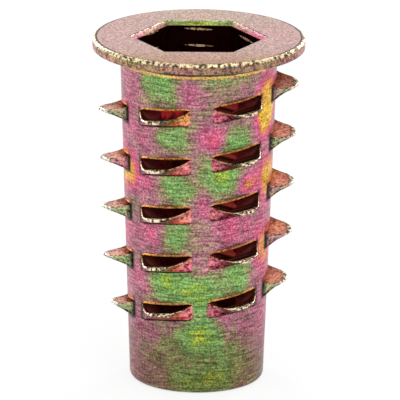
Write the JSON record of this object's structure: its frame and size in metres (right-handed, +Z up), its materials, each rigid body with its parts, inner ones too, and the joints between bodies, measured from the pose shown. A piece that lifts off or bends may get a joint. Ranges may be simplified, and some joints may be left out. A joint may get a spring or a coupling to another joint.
{
  "type": "threaded insert",
  "caption": "Flanged steel insert for wood with a tapered barbed barrel, a hexagon drive socket and a tapped nose that takes a machine bolt.",
  "frame": {"origin": "centre of the nose's end face, on the axis, where the insert stands", "axes": "+Z up the axis from the nose to the flange, +X through a corner of the hexagon socket"},
  "size_m": [0.0154, 0.0154, 0.0258],
  "materials": {
    "yellow_zinc_steel": "iridescent yellow zinc plating, satin, mottled pink, green and gold"
  },
  "bodies": {
    "root": {"insert": "yellow_zinc_steel"}
  },
  "joints": []
}
